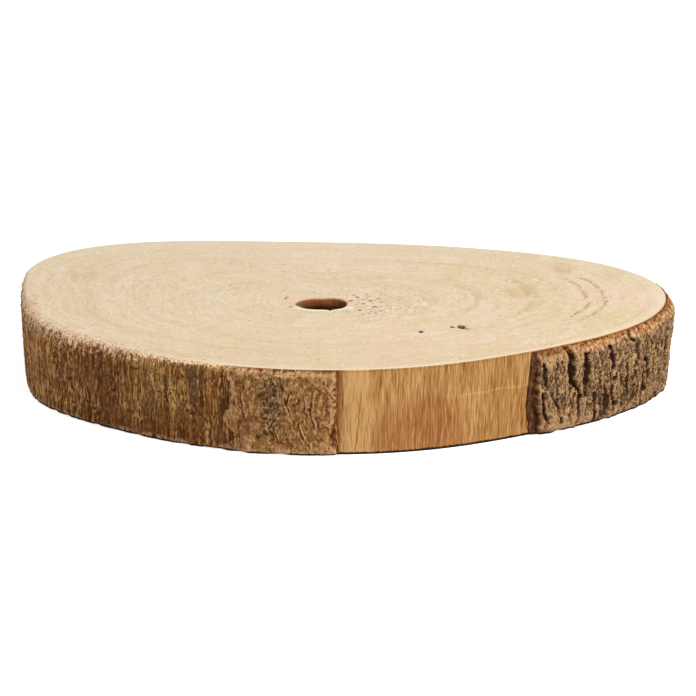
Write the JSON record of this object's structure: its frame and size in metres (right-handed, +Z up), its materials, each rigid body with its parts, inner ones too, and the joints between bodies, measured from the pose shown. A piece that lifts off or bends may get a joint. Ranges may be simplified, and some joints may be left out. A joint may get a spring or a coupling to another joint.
{
  "type": "wood slice",
  "caption": "Round slice sawn from a tree trunk, flat on both faces, with an open pith and patches of bark on its edge, for display or serving.",
  "frame": {"origin": "centre of the slice's bounding box, in the plane of the flat base that it stands on", "axes": "+Z up out of the sawn top face, along the tree's grain; +X to the right and +Y to the back as the picture shows the slice"},
  "size_m": [0.3038, 0.2814, 0.039],
  "materials": {
    "wood": "sawn and lightly sanded, pale cream end grain with faint rings, golden brown where the bark is gone",
    "inner_bark": "matt fibrous inner bark, dark brown with lighter streaks",
    "outer_bark": "matt furrowed bark, grey brown plates, dark furrows and orange brown broken edges"
  },
  "bodies": {
    "root": {"wood": "wood", "bark_left": "inner_bark", "bark_right": "outer_bark"}
  },
  "joints": []
}
